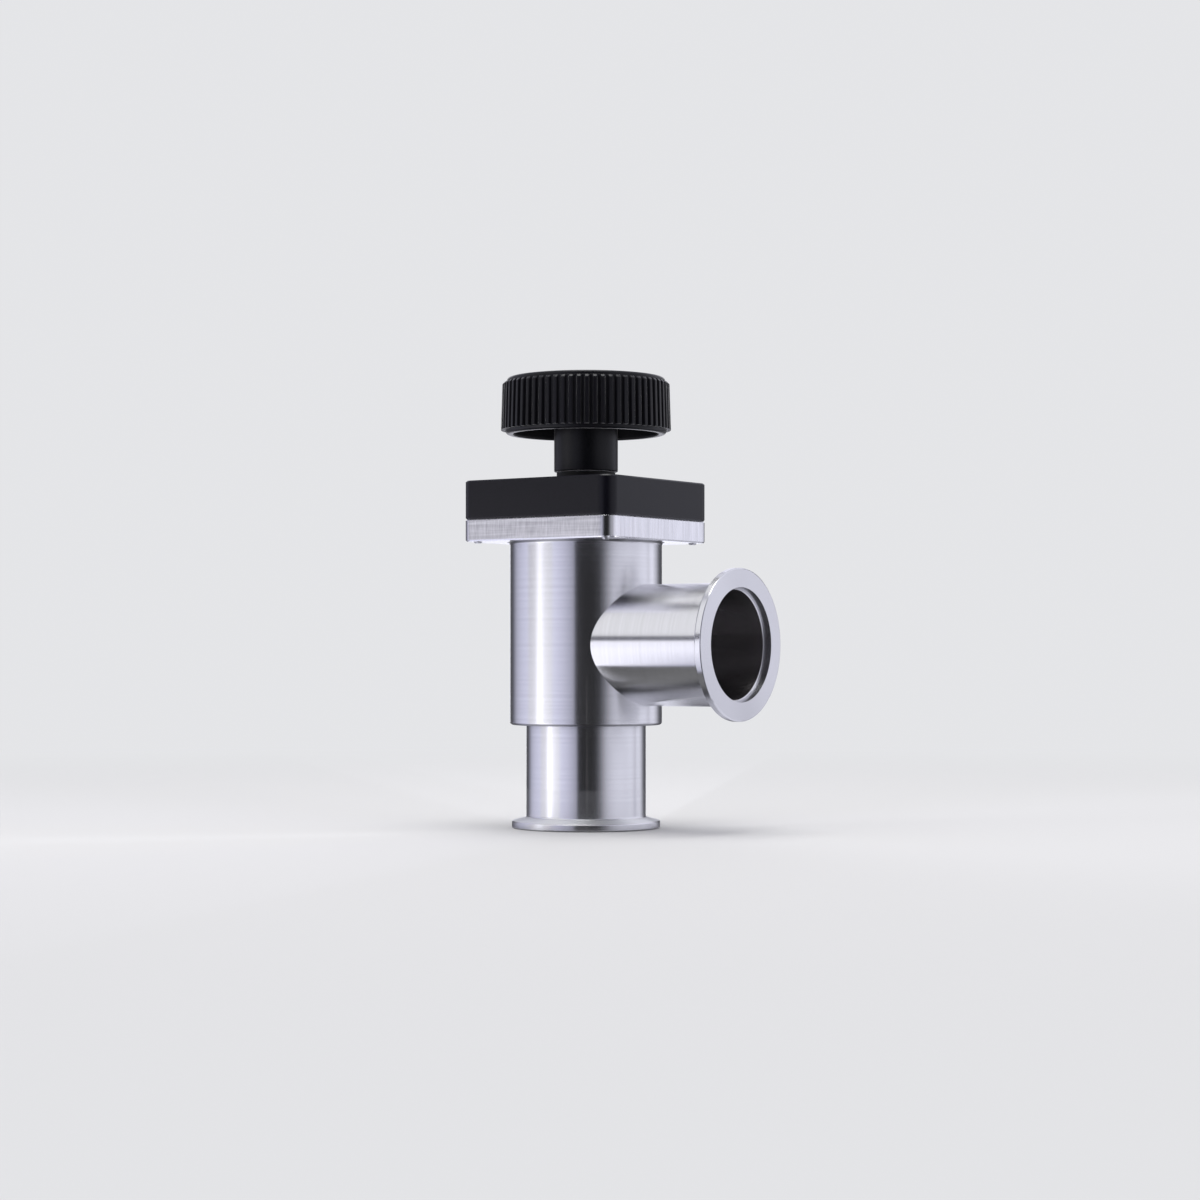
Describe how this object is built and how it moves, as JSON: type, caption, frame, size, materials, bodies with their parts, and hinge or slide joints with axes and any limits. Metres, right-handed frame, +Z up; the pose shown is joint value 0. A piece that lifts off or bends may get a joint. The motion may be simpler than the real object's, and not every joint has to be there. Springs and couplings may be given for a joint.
{
  "type": "vacuum angle valve",
  "caption": "Hand-operated right-angle vacuum valve: round steel body with small-flange ports below and at the side, square black cover and a ribbed knob that lifts a bellows-sealed disc.",
  "frame": {"origin": "centre of the bottom flange's sealing face", "axes": "+Z up the spindle, +X out of the side port"},
  "size_m": [0.101, 0.0666, 0.167],
  "materials": {
    "turned_steel": "fine turned lines round the axis",
    "plate_steel": "sawn and ground",
    "bellows_steel": "bright formed sheet",
    "spindle_steel": "turned and polished",
    "screw_steel": "plain",
    "black_cover": "black anodised, satin",
    "black_bush": "satin",
    "black_knob": "satin moulded",
    "nut_brass": "turned",
    "seal_rubber": "smooth"
  },
  "bodies": {
    "valve_body": {"body_tube": "turned_steel", "bottom_port": "turned_steel", "side_port": "turned_steel", "bonnet_plate": "plate_steel", "bonnet": "black_cover", "bonnet_screws": "screw_steel", "screw_washers": "screw_steel", "bonnet_seal": "seal_rubber", "bellows_flange": "plate_steel", "bellows": "bellows_steel", "spindle_nut": "nut_brass", "guide_bush": "black_bush", "wiper_ring": "seal_rubber"},
    "disc_carrier": {"valve_disc": "turned_steel", "disc_seal": "seal_rubber", "thrust_ball": "spindle_steel", "thrust_washer": "nut_brass", "retaining_ring": "screw_steel"},
    "handwheel": {"spindle": "spindle_steel", "knob": "black_knob", "knob_screw": "screw_steel", "knob_washer": "screw_steel", "knob_cap": "black_knob"}
  },
  "joints": [
    {"name": "disc_lift", "type": "slide", "parent": "valve_body", "child": "disc_carrier", "axis": [0, 0, 1], "range_m": [0, 0.012], "deforming": ["bellows"]},
    {"name": "knob_turn", "type": "hinge", "parent": "disc_carrier", "child": "handwheel", "pos_m": [0, 0, 0.15], "axis": [0, 0, 1], "range_deg": [0, 1440]}
  ],
  "couplings": [
    {"joint": "knob_turn", "follows": "disc_lift", "rad_per_m": 2094.4}
  ]
}
